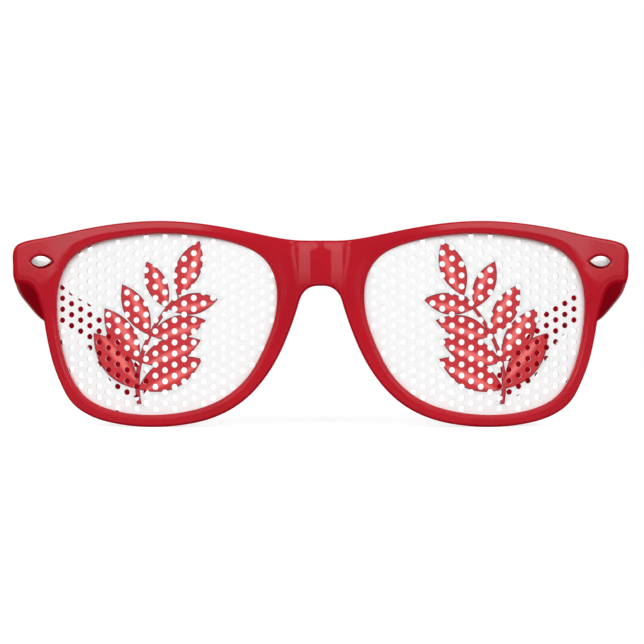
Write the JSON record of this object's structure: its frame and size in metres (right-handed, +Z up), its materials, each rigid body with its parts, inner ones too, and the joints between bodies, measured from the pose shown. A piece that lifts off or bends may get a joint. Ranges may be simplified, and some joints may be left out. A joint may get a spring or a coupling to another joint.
{
  "type": "sunglasses",
  "caption": "Red plastic retro trapezoid sunglasses with white perforated print lenses, pointed oval studs on the end pieces and hinged folding temples.",
  "frame": {"origin": "under the middle of the overall box, on the plane that the rims' undersides and the temple tips rest on", "axes": "+Z up, the front faces -Y, the temples run to +Y, +X is the wearer's left"},
  "size_m": [0.147, 0.156, 0.0477],
  "materials": {
    "frame_plastic": "satin gloss moulded red",
    "lens_sheet": "white perforated print film",
    "stud_metal": "bright nickel",
    "hinge_steel": "stamped nickel plate",
    "screw_steel": "plated steel"
  },
  "bodies": {
    "front": {"front_frame": "frame_plastic", "left_lens": "lens_sheet", "left_front_rivet": "stud_metal", "left_front_hinge_leaf": "hinge_steel", "left_hinge_screw": "screw_steel", "left_front_leaf_screws": "screw_steel", "right_lens": "lens_sheet", "right_front_rivet": "stud_metal", "right_front_hinge_leaf": "hinge_steel", "right_hinge_screw": "screw_steel", "right_front_leaf_screws": "screw_steel"},
    "left_arm": {"left_temple": "frame_plastic", "left_temple_hinge_leaf": "hinge_steel", "left_temple_leaf_screws": "screw_steel"},
    "right_arm": {"right_temple": "frame_plastic", "right_temple_hinge_leaf": "hinge_steel", "right_temple_leaf_screws": "screw_steel"}
  },
  "joints": [
    {"name": "left_temple_fold", "type": "hinge", "parent": "front", "child": "left_arm", "pos_m": [0.06673, -0.05758, 0.03725], "axis": [0, 0, 1], "range_deg": [0, 86]},
    {"name": "right_temple_fold", "type": "hinge", "parent": "front", "child": "right_arm", "pos_m": [-0.06673, -0.05758, 0.03725], "axis": [0, 0, -1], "range_deg": [0, 74]}
  ]
}
